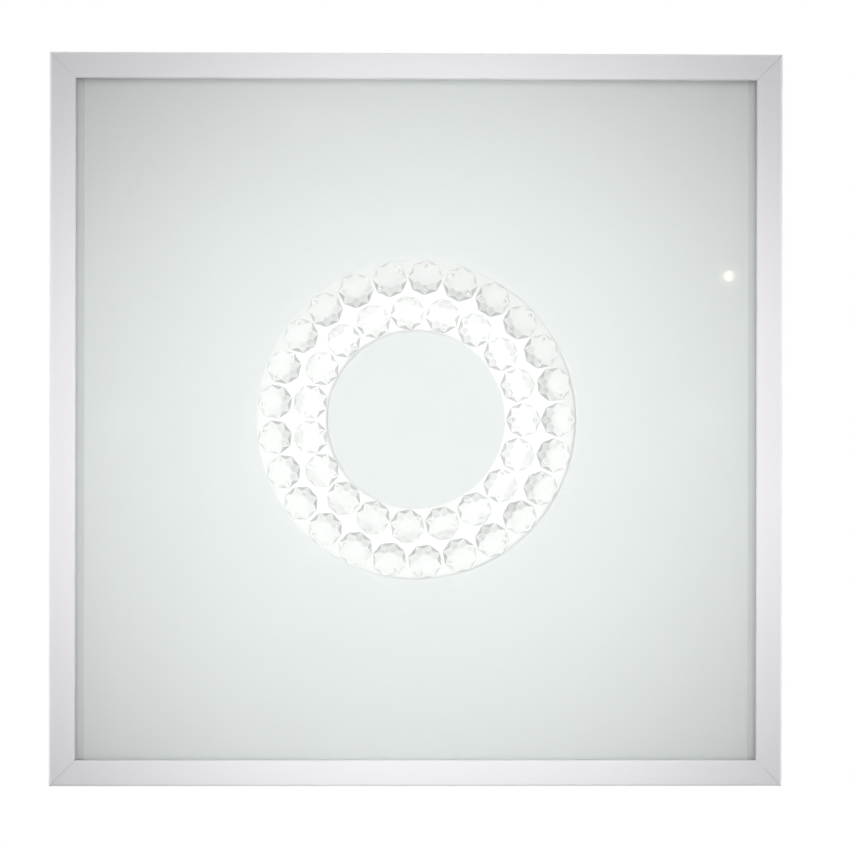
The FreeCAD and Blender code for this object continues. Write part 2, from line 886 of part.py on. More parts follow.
def base_pan():
    body = new_body("base_pan")
    sheet_thickness = size("pan_sheet")
    floor = -sheet_thickness
    outline = new_sketch(body, "XY_Plane")
    rectangle(outline, -PAN_HALF, -PAN_HALF, PAN_HALF, PAN_HALF)
    pad(body, outline, -PAN_RIM, down=True)
    fillet(body, size("pan_corner_radius"), upright)
    fillet(body, size("pan_edge_radius"), at_height(as_size(0)))

    shell = body.newObject("PartDesign::Thickness", "Shell")
    solid = shell.BaseFeature.Shape
    opening = [i for i, face in enumerate(solid.Faces, 1) if near(face.BoundBox.ZMax, PAN_RIM.number)]
    shell.Base = (shell.BaseFeature, [f"Face{opening[0]}"])
    shell.setExpression("Value", sheet_thickness.text)
    shell.Reversed = True
    doc.recompute()

    # a square bead and round seats: each is a recess in the back and a ridge inside
    bead_outer = TRAY_BASE_HALF - size("bead_inset")
    bead_inner = bead_outer - size("bead_width")
    corner = size("tray_corner_radius")
    bead = new_sketch(body, "XY_Plane", floor)
    rounded_square(bead, bead_outer + sheet_thickness, corner + sheet_thickness)
    rounded_square(bead, bead_inner - sheet_thickness, corner - size("bead_width") - sheet_thickness)
    pad(body, bead, size("bead_depth"), down=True)
    seats = new_sketch(body, "XY_Plane", floor)
    boss_outlines(seats, sheet_thickness)
    pad(body, seats, size("boss_depth"), down=True)
    entry = new_sketch(body, "XY_Plane", floor)
    circle(entry, -size("cable_offset"), TERMINAL_Y, size("grommet_recess_radius") + sheet_thickness)
    pad(body, entry, size("grommet_recess_depth"), down=True)

    bead = new_sketch(body, "XY_Plane")
    rounded_square(bead, bead_outer, corner)
    rounded_square(bead, bead_inner, corner - size("bead_width"))
    pocket(body, bead, size("bead_depth"))
    seats = new_sketch(body, "XY_Plane")
    boss_outlines(seats, as_size(0))
    pocket(body, seats, size("boss_depth"))
    entry = new_sketch(body, "XY_Plane")
    circle(entry, -size("cable_offset"), TERMINAL_Y, size("grommet_recess_radius"))
    pocket(body, entry, size("grommet_recess_depth"))

    holes = new_sketch(body, "XY_Plane")
    for x in (TRAY_SCREW, -TRAY_SCREW):
        for y in (TRAY_SCREW, -TRAY_SCREW):
            circle(holes, x, y, tapped("large"))
    for x in (DRIVER_EAR_X, -DRIVER_EAR_X):
        circle(holes, x, DRIVER_MIDDLE, tapped("medium"))
    for side in (1, -1):
        circle(holes, size("pole_pitch") / 2 * side, TERMINAL_Y, tapped("medium"))
        slot(holes, SLOT_X * side, 0, size("slot_length"), size("slot_width"))
    circle(holes, size("earth_offset"), TERMINAL_Y, tapped("large"))
    circle(holes, -size("cable_offset"), TERMINAL_Y, size("cable_hole") / 2)
    pocket(body, holes)

    rivets = new_sketch(body, "YZ_Plane")
    for y in rivet_places():
        circle(rivets, y, RIVET_HEIGHT, size("rivet_diameter") / 2 + size("thread_gap"))
    pocket(body, rivets, symmetric=True)
    return node(body, "base_pan")


def cable_grommet():
    body = new_body("cable_grommet")
    bore = size("grommet_bore") / 2
    flange = size("grommet_flange") / 2
    neck = size("cable_hole") / 2 - size("grommet_fit")
    sheet_top = -size("grommet_recess_depth")
    sheet_bottom = sheet_top - size("pan_sheet")
    top = sheet_top + size("grommet_lip")
    bottom = sheet_bottom - size("grommet_lip")
    bevel = size("grommet_lip") / 2
    revolve(
        body,
        [
            (bore, top),
            (flange - bevel, top),
            (flange, top - bevel),
            (flange, sheet_top),
            (neck, sheet_top),
            (neck, sheet_bottom),
            (flange, sheet_bottom),
            (flange, bottom + bevel),
            (flange - bevel, bottom),
            (bore, bottom),
        ],
    )
    place(body, -size("cable_offset"), TERMINAL_Y)
    return node(body, "cable_grommet")


# Catches


def rivet_places():
    places = []
    for side in (1, -1):
        for step in (1, -1):
            places.append(size("catch_offset") * side + size("rivet_spacing") / 2 * step)
    return places


def catch_spring(label, side, y):
    """A bowed leaf on the outside of the pan's wall, its crest just clear of the rail."""
    body = new_body(label)
    thick = size("catch_thickness")
    crest = SKIRT_INSIDE - size("catch_clearance") - thick
    half_crest = size("catch_crest") / 2
    end = CATCH_CREST + size("catch_slope")
    wall = [
        (PAN_HALF, CATCH_BOTTOM),
        (PAN_HALF, CATCH_FOOT_TOP),
        (crest, CATCH_CREST - half_crest),
        (crest, CATCH_CREST + half_crest),
        (PAN_HALF + size("catch_end_gap"), end),
    ]
    outside = [(x + thick, z) for x, z in reversed(wall)]
    profile = new_sketch(body, "XZ_Plane")
    polygon(profile, wall + outside)
    pad(body, profile, size("catch_width"), symmetric=True)
    holes = new_sketch(body, "YZ_Plane")
    for step in (1, -1):
        radius = size("rivet_diameter") / 2 + size("thread_gap")
        circle(holes, size("rivet_spacing") / 2 * step, RIVET_HEIGHT, radius)
    pocket(body, holes, flip=True)
    place(body, 0, y, 0, turned(0 if side > 0 else 180))
    return node(body, label)


def catch_rivets():
    """Dome-headed rivets through the foot of each catch and the pan's wall."""
    body = new_body("catch_rivet")
    head = size("rivet_head_diameter") / 2
    height = size("rivet_head_height")
    shank = size("rivet_diameter") / 2
    grip = size("catch_thickness") + size("pan_sheet")
    revolve(
        body,
        [
            (0, -height),
            (head * 0.7, -height),
            (head, 0),
            (shank, 0),
            (shank, grip),
            (head, grip),
            (head * 0.7, grip + height),
            (0, grip + height),
        ],
    )
    seat = PAN_HALF + size("catch_thickness")
    inward = FreeCAD.Rotation(Vector(0, 0, 1), Vector(-1, 0, 0))
    places = []
    for side in (1, -1):
        spin = inward if side > 0 else inward.inverted()
        for y in rivet_places():
            places.append((seat * side, y, RIVET_HEIGHT, spin))
    group("catch_rivets", body, places)


# Reflector tray and lighting board


def loft(body, kind, low_half, low, high_half, high, corner):
    sections = []
    for half, level in ((low_half, low), (high_half, high)):
        sketch = new_sketch(body, "XY_Plane", level)
        rounded_square(sketch, half, corner)
        sections.append(sketch)
    feature = body.newObject(kind, "Loft")
    feature.Profile = sections[0]
    feature.Sections = sections[1:]
    feature.Ruled = True
    doc.recompute()


def reflector_tray():
    """A hat-shaped sheet tray whose flange sits on the pan's corner seats."""
    body = new_body("reflector_tray")
    thick = size("tray_sheet")
    corner = size("tray_corner_radius")
    loft(
        body, "PartDesign::AdditiveLoft", TRAY_BASE_HALF, BOSS_FACE, TRAY_FACE_HALF, TRAY_FACE, corner
    )
    loft(
        body,
        "PartDesign::SubtractiveLoft",
        TRAY_BASE_HALF - thick,
        BOSS_FACE,
        TRAY_FACE_HALF - thick,
        TRAY_FACE + thick,
        corner - thick,
    )
    flange = new_sketch(body, "XY_Plane", BOSS_FACE)
    rounded_square(flange, TRAY_HALF, corner)
    rounded_square(flange, TRAY_BASE_HALF - thick, corner - thick)
    pad(body, flange, thick, down=True)

    holes = new_sketch(body, "XY_Plane")
    for x in (TRAY_SCREW, -TRAY_SCREW):
        for y in (TRAY_SCREW, -TRAY_SCREW):
            circle(holes, x, y, clearance("large"))
    circle(holes, 0, 0, size("tray_lead_hole") / 2)
    for x, y in board_screw_places():
        circle(holes, x, y, tapped("medium"))
    pocket(body, holes)

    window = new_sketch(body, "XZ_Plane")
    half = size("tray_window_width") / 2
    top = TUBE_HEIGHT + size("tray_window_height") / 3
    rectangle(window, -half, top - size("tray_window_height"), half, top)
    pocket(body, window, flip=True)
    return node(body, "reflector_tray")


def board_screw_places():
    radius = size("board_diameter") / 2 - size("board_screw_inset")
    places = []
    for i in range(BOARD_SCREWS):
        angle = 2 * math.pi * (i / BOARD_SCREWS + 0.5 / LED_COUNT)
        places.append((radius * math.cos(angle), radius * math.sin(angle)))
    return places


def led_board():
    body = new_body("led_board")
    disc = new_sketch(body, "XY_Plane", TRAY_FACE)
    circle(disc, 0, 0, size("board_diameter") / 2)
    circle(disc, 0, 0, size("board_hole") / 2)
    for x, y in board_screw_places():
        circle(disc, x, y, clearance("medium"))
    pad(body, disc, size("board_thickness"), down=True)
    return node(body, "led_board")


def led_chips():
    """Small flat packages, each with a round window, in a ring on the board."""
    body = new_body("led_chip")
    half_length = size("led_length") / 2
    half_width = size("led_width") / 2
    package = new_sketch(body, "XY_Plane")
    rectangle(package, -half_length, -half_width, half_length, half_width)
    pad(body, package, size("led_height"), down=True)
    window = new_sketch(body, "XY_Plane", -size("led_height"))
    circle(window, 0, 0, size("led_window") / 2)
    pocket(body, window, size("led_window_depth"), flip=True)
    radius = size("board_diameter") / 2 - size("led_inset")
    places = []
    for i in range(LED_COUNT):
        angle = 360 * i / LED_COUNT
        x = radius * math.cos(math.radians(angle))
        y = radius * math.sin(math.radians(angle))
        places.append((x, y, BOARD_FACE, turned(angle)))
    group("led_chips", body, places)


# Driver, terminal block and earth point


def driver_case():
    body = new_body("led_driver")
    half = size("driver_width") / 2
    outline = new_sketch(body, "XY_Plane", BOSS_FACE)
    rectangle(outline, -half, DRIVER_BACK, half, DRIVER_FRONT)
    pad(body, outline, size("driver_height"), down=True)
    radius = size("driver_corner_radius")
    fillet(body, radius, upright)
    fillet(body, radius / 2, at_height(BOSS_FACE - size("driver_height")))
    ears = new_sketch(body, "XY_Plane", BOSS_FACE)
    reach = half + size("driver_ear")
    ear_half = size("driver_ear_width") / 2
    rectangle(ears, -reach, DRIVER_MIDDLE - ear_half, reach, DRIVER_MIDDLE + ear_half)
    pad(body, ears, size("driver_ear_thickness"), down=True)
    holes = new_sketch(body, "XY_Plane")
    for x in (DRIVER_EAR_X, -DRIVER_EAR_X):
        circle(holes, x, DRIVER_MIDDLE, clearance("medium"))
    pocket(body, holes)
    depth = size("lead_port_depth")
    fit = size("tube_fit")
    ports = new_sketch(body, "XZ_Plane", -(DRIVER_BACK + depth))
    for x, z in MAINS_PORTS:
        circle(ports, x, z, size("mains_lead") / 2 + fit)
    pocket(body, ports, depth, flip=True)
    ports = new_sketch(body, "XZ_Plane", -DRIVER_FRONT)
    for x, z in LED_PORTS:
        circle(ports, x, z, size("led_lead") / 2 + fit)
    pocket(body, ports, depth, flip=True)
    return node(body, "led_driver")


def terminal_block():
    """A three-pole block with stepped shoulders, grooved along the top of its poles."""
    body = new_body("terminal_block")
    half = size("terminal_width") / 2
    step = half - size("terminal_step")
    groove = (size("medium_head") + size("terminal_head_gap")) / 2
    shoulder = -size("terminal_shoulder")
    low = -size("terminal_height")
    floor = -size("terminal_groove_floor")
    profile = new_sketch(body, "YZ_Plane")
    polygon(
        profile,
        [
            (-half, 0),
            (half, 0),
            (half, shoulder),
            (step, shoulder),
            (step, low),
            (groove, low),
            (groove, floor),
            (-groove, floor),
            (-groove, low),
            (-step, low),
            (-step, shoulder),
            (-half, shoulder),
        ],
    )
    pad(body, profile, size("terminal_length"), symmetric=True)
    tubes = new_sketch(body, "XZ_Plane")
    for x in POLES:
        circle(tubes, x, -size("tube_depth"), size("tube_diameter") / 2 + size("tube_fit"))
    pocket(body, tubes, symmetric=True)
    clamps = new_sketch(body, "XY_Plane", low)
    for x in POLES:
        for y in clamp_places():
            circle(clamps, x, y, size("clamp_screw_diameter") / 2 + size("thread_gap"))
    pocket(body, clamps, size("terminal_height") - size("tube_depth"), flip=True)
    fixings = new_sketch(body, "XY_Plane")
    for side in (1, -1):
        circle(fixings, size("pole_pitch") / 2 * side, 0, clearance("medium"))
    pocket(body, fixings)
    place(body, 0, TERMINAL_Y, BOSS_FACE)
    return node(body, "terminal_block")


def clamp_places():
    outer = size("terminal_width") / 2 - size("terminal_step")
    inner = (size("medium_head") + size("terminal_head_gap")) / 2
    middle = (outer + inner) / 2
    return (middle, -middle)


def terminal_tubes():
    """Brass tubes that the leads are clamped in, one for each pole."""
    body = new_body("terminal_tube")
    ring = new_sketch(body, "XZ_Plane")
    circle(ring, 0, 0, size("tube_diameter") / 2)
    circle(ring, 0, 0, size("tube_bore") / 2)
    pad(body, ring, size("terminal_width") - size("terminal_step"), symmetric=True)
    group("terminal_tubes", body, [(x, TERMINAL_Y, TUBE_HEIGHT, None) for x in POLES])


def clamp_screws():
    """Slotted screws in the towers of the terminal block, down to the tubes."""
    body = new_body("clamp_screw")
    radius = size("clamp_screw_diameter") / 2
    length = (
        size("terminal_height")
        - size("tube_depth")
        - size("tube_diameter") / 2
        - size("clamp_screw_recess")
        - size("contact_gap")
    )
    disc = new_sketch(body, "XY_Plane")
    circle(disc, 0, 0, radius)
    pad(body, disc, length)
    groove = new_sketch(body, "XY_Plane")
    rectangle(groove, -radius * 2, -radius / 5, radius * 2, radius / 5)
    pocket(body, groove, radius / 2, flip=True)
    low = BOSS_FACE - size("terminal_height") + size("clamp_screw_recess")
    places = [(x, TERMINAL_Y + y, low, None) for x in POLES for y in clamp_places()]
    group("clamp_screws", body, places)


def earth_lug():
    """A ring lug under the earth screw, with the barrel that its lead is crimped in."""
    body = new_body("earth_lug")
    ring = new_sketch(body, "XY_Plane")
    circle(ring, 0, 0, size("lug_diameter") / 2)
    pad(body, ring, size("lug_thickness"), down=True)
    neck = new_sketch(body, "XY_Plane")
    barrel = size("lug_barrel") / 2
    rectangle(neck, -barrel, 0, barrel, size("lug_neck"))
    pad(body, neck, size("lug_thickness"), down=True)
    crimp = new_sketch(body, "XZ_Plane", -size("lug_neck"))
    circle(crimp, 0, -barrel, barrel)
    pad(body, crimp, size("lug_neck") / 2)
    hole = new_sketch(body, "XY_Plane")
    circle(hole, 0, 0, clearance("large"))
    pocket(body, hole)
    place(body, size("earth_offset"), TERMINAL_Y, BOSS_FACE, turned(90))
    return node(body, "earth_lug")


def inner_screws():
    """The screws that hold the tray, driver, terminal block, board and earth lug."""
    tip = -size("screw_tip_gap")
    flange = BOSS_FACE - size("tray_sheet")
    corners = [(TRAY_SCREW * i, TRAY_SCREW * j) for i in (1, -1) for j in (1, -1)]
    pattern = screw("tray_screw", "large", tip - flange)
    group("tray_screws", pattern, [(x, y, flange, None) for x, y in corners])

    seat = BOSS_FACE - size("lug_thickness")
    pattern = screw("earth_screw_pattern", "large", tip - seat)
    group("earth_screw", pattern, [(size("earth_offset"), TERMINAL_Y, seat, None)])

    ear = BOSS_FACE - size("driver_ear_thickness")
    pattern = screw("driver_screw", "medium", tip - ear)
    places = [(DRIVER_EAR_X * side, DRIVER_MIDDLE, ear, None) for side in (1, -1)]
    group("driver_screws", pattern, places)

    seat = BOSS_FACE - size("terminal_groove_floor")
    pattern = screw("terminal_screw", "medium", tip - seat)
    places = [(size("pole_pitch") / 2 * side, TERMINAL_Y, seat, None) for side in (1, -1)]
    group("terminal_screws", pattern, places)

    length = size("board_thickness") + size("tray_sheet") + size("board_screw_grip")
    pattern = screw("board_screw", "medium", length)
    group("board_screws", pattern, [(x, y, BOARD_FACE, None) for x, y in board_screw_places()])


# Leads: straight runs joined by tangent arcs


def lead(label, diameter, points):
    corners = [Vector(*(plain(value) for value in point)) for point in points]
    edges = []
    start = corners[0]
    for before, corner, after in zip(corners, corners[1:], corners[2:]):
        into = (corner - before).normalize()
        away = (after - corner).normalize()
        reach = 0.45 * min((corner - before).Length, (after - corner).Length)
        turn = into.getAngle(away)
        radius = reach / math.tan(turn / 2)
        print(f"{label}: bend radius {radius:.1f} mm")
        first = corner - into * reach
        last = corner + away * reach
        sag = radius * (1 / math.cos(turn / 2) - 1)
        middle = corner + (away - into).normalize() * sag
        edges.append(Part.LineSegment(start, first).toShape())
        edges.append(Part.Arc(first, middle, last).toShape())
        start = last
    edges.append(Part.LineSegment(start, corners[-1]).toShape())
    path = Part.Wire(edges)
    ring = Part.Circle(corners[0], corners[1] - corners[0], diameter.number / 2)
    section = Part.Wire(ring.toShape())
    tube = path.makePipeShell([section], True, False)
    expected = math.pi * diameter.number**2 / 4 * path.Length
    if abs(tube.Volume / expected - 1) > 0.01:
        raise RuntimeError(f"{label}: the tube's volume doesn't match its length")
    thing = doc.addObject("Part::Feature", label)
    thing.Shape = tube
    return node(thing, label)


POLES = (-size("pole_pitch"), 0, size("pole_pitch"))
MAINS_PORT_HEIGHT = BOSS_FACE - size("driver_height") * 0.45
LED_PORT_HEIGHT = BOSS_FACE - size("driver_height") * 0.75
MAINS_PORTS = (
    (-size("pole_pitch") * 0.8, MAINS_PORT_HEIGHT),
    (size("pole_pitch") * 0.2, MAINS_PORT_HEIGHT),
)
LED_PORTS = ((-size("led_lead") * 2, LED_PORT_HEIGHT), (size("led_lead") * 2, LED_PORT_HEIGHT))


def mains_leads():
    """Live and neutral, from the terminal block through the tray's window to the driver."""
    start = TERMINAL_Y + size("terminal_width") / 4
    face = TERMINAL_Y + size("terminal_width") / 2
    span = DRIVER_BACK - face
    end = DRIVER_BACK + size("lead_port_depth") * 0.8
    for label, pole, (port_x, port_z) in (
        ("live_lead", POLES[0], MAINS_PORTS[0]),
        ("neutral_lead", POLES[1], MAINS_PORTS[1]),
    ):
        lead(
            label,
            size("mains_lead"),
            [
                (pole, start, TUBE_HEIGHT),
                (pole, face + span * 0.3, TUBE_HEIGHT),
                (port_x, face + span * 0.75, port_z),
                (port_x, end, port_z),
            ],
        )


def earth_lead():
    """From the third pole, round the end of the block, to the barrel of the earth lug."""
    start = TERMINAL_Y + size("terminal_width") / 4
    clear = TERMINAL_Y + size("terminal_width") / 2 + size("mains_lead_clear")
    beside = size("terminal_length") / 2 + size("mains_lead_side")
    low = TUBE_HEIGHT - size("mains_lead_drop")
    lug = size("earth_offset") - size("lug_neck")
    lug_height = BOSS_FACE - size("lug_barrel") / 2
    lead(
        "earth_lead",
        size("mains_lead"),
        [
            (POLES[2], start, TUBE_HEIGHT),
            (POLES[2], clear, low),
            (beside, clear, low),
            (beside, TERMINAL_Y, lug_height),
            (lug, TERMINAL_Y, lug_height),
        ],
    )


def led_leads():
    """From the driver's end, through the tray and the board, to the board's pads."""
    pad_height = BOARD_FACE - size("led_lead") / 2 - size("contact_gap")
    hole_x = size("board_hole") / 2 - size("led_lead") * 1.2
    for side, label in ((-1, "led_lead_negative"), (1, "led_lead_positive")):
        port_x = size("led_lead") * 2 * side
        lead(
            label,
            size("led_lead"),
            [
                (port_x, DRIVER_FRONT - size("lead_port_depth") * 0.8, LED_PORT_HEIGHT),
                (port_x, DRIVER_FRONT * 0.55, LED_PORT_HEIGHT),
                (hole_x * side, DRIVER_FRONT * 0.12, LED_PORT_HEIGHT - size("led_lead_drop")),
                (hole_x * side, 0, BOARD_FACE + size("led_lead_entry")),
                (hole_x * side, 0, pad_height - size("led_lead_dip")),
                ((hole_x + size("led_lead_run")) * side, 0, pad_height),
            ],
        )


def check():
    """Stops before anything is written if an object failed or a shape is empty or invalid."""
    doc.recompute()
    for thing in doc.Objects:
        if "Invalid" in thing.State or "Error" in thing.State:
            raise RuntimeError(f"{thing.Label} failed: {thing.State}")
    for thing in NODES:
        if thing.Shape.isNull() or not thing.Shape.isValid() or not thing.Shape.Solids:
            raise RuntimeError(f"{thing.Label} has no valid shape")


def main():
    ends = [0]
    sides = retainer_screw_places()
    rail("rail_front", 0, ends)
    rail("rail_right", 90, sides)
    rail("rail_back", 180, ends)
    rail("rail_left", 270, sides)
    corners = ("front_right", "back_right", "back_left", "front_left")
    for turn, corner in enumerate(corners):
        corner_key(f"corner_key_{corner}", 90 * turn)
    corner_screws()
    glass_panel()
    glass_gasket()
    glass_retainer("glass_retainer_right", 90, size("retainer_show_right"))
    glass_retainer("glass_retainer_left", 270, size("retainer_show_left"))
    glass_clip("glass_clip_front", 0)
    glass_clip("glass_clip_back", 180)
    glass_screws()
    crystal_rows()

    base_pan()
    cable_grommet()
    offset = size("catch_offset")
    catch_spring("catch_right_front", 1, -offset)
    catch_spring("catch_right_back", 1, offset)
    catch_spring("catch_left_front", -1, -offset)
    catch_spring("catch_left_back", -1, offset)
    catch_rivets()
    reflector_tray()
    led_board()
    led_chips()
    driver_case()
    terminal_block()
    terminal_tubes()
    clamp_screws()
    earth_lug()
    inner_screws()
    mains_leads()
    earth_lead()
    led_leads()

    check()
    os.makedirs("parts", exist_ok=True)
    for thing in NODES:
        thing.Shape.exportStep(f"parts/{thing.Label}.step")
    print(len(NODES), "sub-parts written")


main()
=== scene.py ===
import math

import bmesh
import bpy
from mathutils import Matrix, Vector


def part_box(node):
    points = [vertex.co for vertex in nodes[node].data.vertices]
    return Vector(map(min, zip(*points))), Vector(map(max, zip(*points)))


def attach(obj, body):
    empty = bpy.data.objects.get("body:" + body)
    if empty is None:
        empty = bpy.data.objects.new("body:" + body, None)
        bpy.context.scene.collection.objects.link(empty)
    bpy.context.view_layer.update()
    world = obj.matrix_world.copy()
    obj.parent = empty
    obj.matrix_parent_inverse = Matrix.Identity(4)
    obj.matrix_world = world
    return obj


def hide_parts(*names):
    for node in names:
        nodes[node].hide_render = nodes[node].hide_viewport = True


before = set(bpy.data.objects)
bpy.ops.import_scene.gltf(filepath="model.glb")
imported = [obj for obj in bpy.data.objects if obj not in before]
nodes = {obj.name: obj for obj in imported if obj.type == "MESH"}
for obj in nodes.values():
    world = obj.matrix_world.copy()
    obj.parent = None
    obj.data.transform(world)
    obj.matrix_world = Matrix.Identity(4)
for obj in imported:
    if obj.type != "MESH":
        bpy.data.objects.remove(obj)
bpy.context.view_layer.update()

FRONT, BACK = "front_frame", "base"
MM = 0.001

# Most values of a noise texture lie between these two
NOISE_LOW = 0.3
NOISE_HIGH = 0.7

# Node helpers, for a material or the world


def add(owner, kind, **values):
    node = owner.node_tree.nodes.new(kind)
    for key, value in values.items():
        setattr(node, key, value)
    return node


def link(owner, start, end):
    owner.node_tree.links.new(start, end)


def between(owner, factor, low, high, end, start=NOISE_LOW, stop=NOISE_HIGH):
    """Maps a value from its own range to another and links it to an input."""
    span = add(owner, "ShaderNodeMapRange")
    span.inputs["From Min"].default_value = start
    span.inputs["From Max"].default_value = stop
    span.inputs["To Min"].default_value = low
    span.inputs["To Max"].default_value = high
    link(owner, factor, span.inputs["Value"])
    link(owner, span.outputs["Result"], end)


def seen_rays(owner):
    """1 for what is seen straight, mirrored or through glass, and 0 for the light that is given off."""
    path = add(owner, "ShaderNodeLightPath")
    seen = path.outputs["Is Camera Ray"]
    for kind in ("Is Glossy Ray", "Is Transmission Ray"):
        either = add(owner, "ShaderNodeMath", operation="MAXIMUM")
        link(owner, seen, either.inputs[0])
        link(owner, path.outputs[kind], either.inputs[1])
        seen = either.outputs["Value"]
    return seen


def new_material(name):
    material = bpy.data.materials.new(name)
    material.use_nodes = True
    return material, material.node_tree.nodes["Principled BSDF"]


def place_noise(material, scale, stretch=(1, 1, 1), detail=3.0):
    """Noise in the object's own metres, drawn out by stretch."""
    place = add(material, "ShaderNodeTexCoord")
    mapping = add(material, "ShaderNodeMapping")
    mapping.inputs["Scale"].default_value = stretch
    noise = add(material, "ShaderNodeTexNoise")
    noise.inputs["Scale"].default_value = scale
    noise.inputs["Detail"].default_value = detail
    link(material, place.outputs["Object"], mapping.inputs["Vector"])
    link(material, mapping.outputs["Vector"], noise.inputs["Vector"])
    return noise.outputs["Fac"]


def tint(material, factor, first, second, end):
    mix = add(material, "ShaderNodeMix", data_type="RGBA")
    mix.inputs["A"].default_value = (*first, 1)
    mix.inputs["B"].default_value = (*second, 1)
    between(material, factor, 0.0, 1.0, mix.inputs["Factor"])
    link(material, mix.outputs["Result"], end)


def bump(material, factor, depth, end):
    node = add(material, "ShaderNodeBump")
    node.inputs["Strength"].default_value = 1.0
    node.inputs["Distance"].default_value = depth
    link(material, factor, node.inputs["Height"])
    link(material, node.outputs["Normal"], end)


def mix_shaders(material, first, second):
    """Makes a material's surface a mix of two shaders, and gives the input for the share of the second."""
    mix = add(material, "ShaderNodeMixShader")
    link(material, first.outputs["BSDF"], mix.inputs[1])
    link(material, second.outputs["BSDF"], mix.inputs[2])
    out = material.node_tree.nodes["Material Output"]
    link(material, mix.outputs["Shader"], out.inputs["Surface"])
    return mix.inputs["Fac"]


def surface(
    name,
    colour,
    shade,
    rough,
    metal=0.0,
    grain=900,
    stretch=(1, 1, 1),
    depth=0.01 * MM,
    patch=25,
    **sockets,
):
    """A finish whose colour drifts in broad patches and whose gloss and relief follow a fine grain."""
    material, shader = new_material(name)
    shader.inputs["Metallic"].default_value = metal
    for key, value in sockets.items():
        shader.inputs[key.replace("_", " ")].default_value = value
    fine = place_noise(material, grain, stretch)
    broad = place_noise(material, patch, detail=2.0)
    tint(material, broad, shade, colour, shader.inputs["Base Color"])
    between(material, fine, rough[0], rough[1], shader.inputs["Roughness"])
    bump(material, fine, depth, shader.inputs["Normal"])
    return material


def dress(names, material):
    for name in names:
        slots = nodes[name].data.materials
        slots.clear()
        slots.append(material)


def named(*starts):
    return [name for name in nodes if name.startswith(starts)]


# Camera, at the photograph's place under the light

CAMERA_PLACE = Vector((-0.0196, -0.0021, -1.2643))
CAMERA_TARGET = Vector((0.0033, 0.0005, -0.065))
CAMERA_TOP = Vector((-0.0018, -1, 0))
CAMERA_LENS = 128.5
SENSOR_WIDTH = 36.0
CAMERA_REACH = 50.0


def camera():
    back = (CAMERA_PLACE - CAMERA_TARGET).normalized()
    right = CAMERA_TOP.cross(back).normalized()
    up = back.cross(right)
    data = bpy.data.cameras.new("camera")
    data.lens = CAMERA_LENS
    data.sensor_width = SENSOR_WIDTH
    data.clip_end = CAMERA_REACH
    made = bpy.data.objects.new("camera", data)
    turn = Matrix((right, up, back)).transposed().to_4x4()
    made.matrix_world = Matrix.Translation(CAMERA_PLACE) @ turn
    bpy.context.scene.collection.objects.link(made)
    bpy.context.scene.camera = made


camera()

# Light

# The strong lamp in front of the light, whose edge falls off over the frame
FRONT_WIDTH = 0.08
FRONT_CONE = math.radians(26.0)
FRONT_PLACE = (0.0015, 0.013, -1.065)
FRONT_TARGET = (0.0015, 0.013, 0)
FRONT_POWER = 28.0

# The lamp that the crystals show: width, place, target and power
GLINT = (0.22, (0, 0, -0.47), (0, 0, 0), 0.25)

# Soft lamps in front, level with the sides, above, and behind the glass: name, width, place, target and power
SIDE_TARGET = (0, 0, -0.04)
SOFT_LAMPS = (
    ("high_front", 0.25, (0.10, -0.42, -1.15), (0, 0, -0.06), 1.8),
    ("edge_left", 0.3, (-1.3, -0.15, 0.06), SIDE_TARGET, 8.5),
    ("edge_right", 0.3, (1.3, -0.15, 0.06), SIDE_TARGET, 8.5),
    ("edge_front", 0.3, (0, -1.3, 0.06), SIDE_TARGET, 5.0),
    ("edge_back", 0.3, (0, 1.3, 0.06), SIDE_TARGET, 2.5),
    ("above", 1.2, (0.5, -0.7, 1.3), (0, 0, 0), 12.5),
    ("above_back", 0.8, (-0.1, 1.1, 1.0), (0, 0, 0), 9.0),
    ("behind_disc", 0.066, (0, 0, -0.0570), (0, 0, 0), 0.005),
    ("chamber", 0.24, (0, 0, -0.0572), (0, 0, 0), 0.0110),
)

# The small warm bulb and its glow, mirrored near the right edge of the glass: name, width and power
WARM_LAMPS = (("warm_bulb", 0.0068, 0.0008), ("warm_glow", 0.018, 0.0004))
WARM_PLACE = (0.2427, -0.1028, -1.0544)
WARM_TARGET = (0.1241, -0.0573, -0.0625)
WARM_COLOUR = (1.0, 0.84, 0.58)

# Strengths of the sky and the floor, as light and as they are seen
SKY_LIGHT, SKY_SEEN = 0.14, 1.0
FLOOR_LIGHT, FLOOR_SEEN = 0.05, 0.74
FLOOR_HALF = 20.0
FLOOR_LEVEL = -2.4


def lamp(data, place, target, power, through=False, mirrored=False):
    """Aims a lamp; the lamp itself may show through the cut crystal or mirrored in the glass."""
    data.energy = power
    made = bpy.data.objects.new(data.name, data)
    made.location = place
    made.rotation_euler = (Vector(target) - Vector(place)).to_track_quat("-Z", "Y").to_euler()
    made.visible_camera = False
    made.visible_glossy = mirrored
    made.visible_transmission = through
    bpy.context.scene.collection.objects.link(made)


def softbox(name, width):
    data = bpy.data.lights.new(name, "AREA")
    data.shape = "DISK"
    data.size = width
    return data


def lamps():
    front = bpy.data.lights.new("front", "SPOT")
    front.shadow_soft_size = FRONT_WIDTH / 2
    front.spot_size = FRONT_CONE
    front.spot_blend = 1.0
    lamp(front, FRONT_PLACE, FRONT_TARGET, FRONT_POWER)
    width, place, target, power = GLINT
    lamp(softbox("glint", width), place, target, power, through=True)
    for name, width, place, target, power in SOFT_LAMPS:
        lamp(softbox(name, width), place, target, power)
    for name, width, power in WARM_LAMPS:
        bulb = softbox(name, width)
        bulb.color = WARM_COLOUR
        lamp(bulb, WARM_PLACE, WARM_TARGET, power, mirrored=True)


